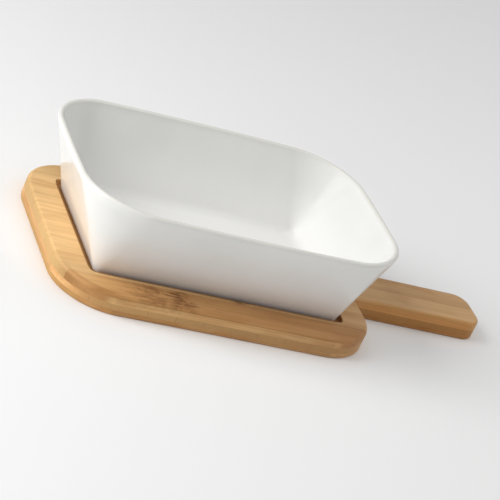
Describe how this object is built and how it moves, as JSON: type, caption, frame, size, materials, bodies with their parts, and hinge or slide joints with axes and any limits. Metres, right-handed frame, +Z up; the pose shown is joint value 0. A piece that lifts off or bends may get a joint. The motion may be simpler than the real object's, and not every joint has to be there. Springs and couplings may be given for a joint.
{
  "type": "chip and dip server",
  "caption": "White glazed porcelain serving dish with flared walls and a rounded lip, standing loose in a shallow pocket of a bamboo serving tray with a straight handle at one end.",
  "frame": {"origin": "centre of the tray body's flat underside, handle left out, which is the face that stands on the table", "axes": "+X runs along the tray towards the handle, +Y across the tray, +Z up out of the dish"},
  "size_m": [0.3397, 0.1634, 0.072],
  "materials": {
    "porcelain": "gloss white glaze",
    "bamboo_top": "oiled satin",
    "bamboo_core": "oiled satin",
    "bamboo_bottom": "oiled satin"
  },
  "bodies": {
    "tray": {"top_strip_1": "bamboo_top", "top_strip_2": "bamboo_top", "top_strip_3": "bamboo_top", "top_strip_4": "bamboo_top", "top_strip_5": "bamboo_top", "top_strip_6": "bamboo_top", "top_strip_7": "bamboo_top", "top_strip_8": "bamboo_top", "core_strip_1": "bamboo_core", "core_strip_2": "bamboo_core", "core_strip_3": "bamboo_core", "core_strip_4": "bamboo_core", "core_strip_5": "bamboo_core", "core_strip_6": "bamboo_core", "core_strip_7": "bamboo_core", "core_strip_8": "bamboo_core", "core_strip_9": "bamboo_core", "core_strip_10": "bamboo_core", "core_strip_11": "bamboo_core", "core_strip_12": "bamboo_core", "core_strip_13": "bamboo_core", "core_strip_14": "bamboo_core", "core_strip_15": "bamboo_core", "core_strip_16": "bamboo_core", "core_strip_17": "bamboo_core", "bottom_strip_1": "bamboo_bottom", "bottom_strip_2": "bamboo_bottom", "bottom_strip_3": "bamboo_bottom", "bottom_strip_4": "bamboo_bottom", "bottom_strip_5": "bamboo_bottom", "bottom_strip_6": "bamboo_bottom", "bottom_strip_7": "bamboo_bottom", "bottom_strip_8": "bamboo_bottom"},
    "dish": {"dish": "porcelain"}
  },
  "joints": [
    {"name": "dish_lift", "type": "slide", "parent": "tray", "child": "dish", "axis": [0, 0, 1], "range_m": [0, 0.09]}
  ]
}
